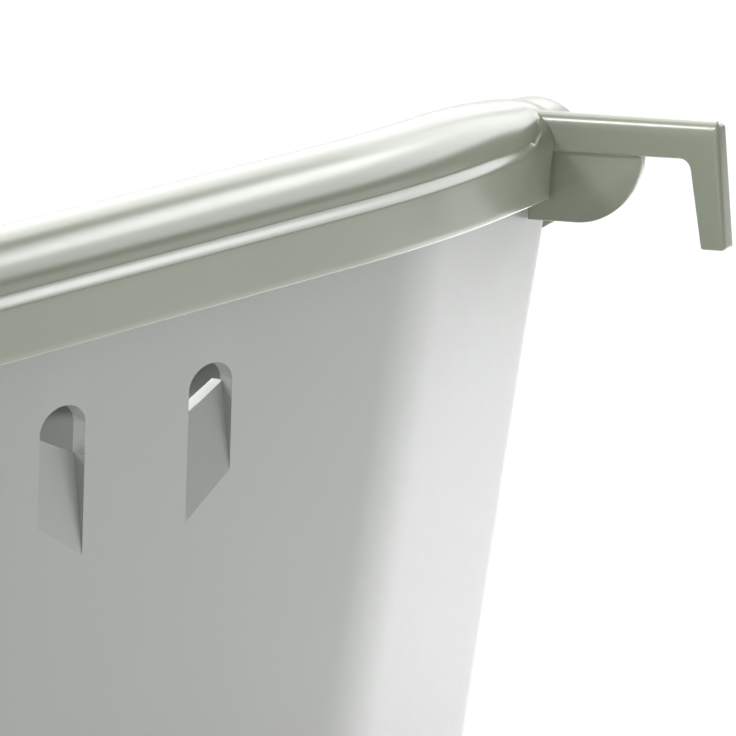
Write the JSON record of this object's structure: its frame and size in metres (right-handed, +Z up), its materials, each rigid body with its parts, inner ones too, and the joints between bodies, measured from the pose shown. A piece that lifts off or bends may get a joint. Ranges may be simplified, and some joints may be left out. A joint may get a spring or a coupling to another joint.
{
  "type": "hanging file rack",
  "caption": "Hanging file rack: a tapered plastic tub with a push-on domed rim collar and hook brackets that hang it on a panel's top edge.",
  "frame": {"origin": "centre of the flat base, on the plane the base rests on", "axes": "+X along the length, +Y towards the back, where the hook brackets reach over a panel, +Z up"},
  "size_m": [0.4032, 0.1769, 0.236],
  "materials": {
    "tub_plastic": "satin",
    "rim_plastic": "gloss"
  },
  "bodies": {
    "root": {"tub": "tub_plastic", "rim_collar": "rim_plastic", "hook_left": "rim_plastic", "hook_right": "rim_plastic"}
  },
  "joints": []
}
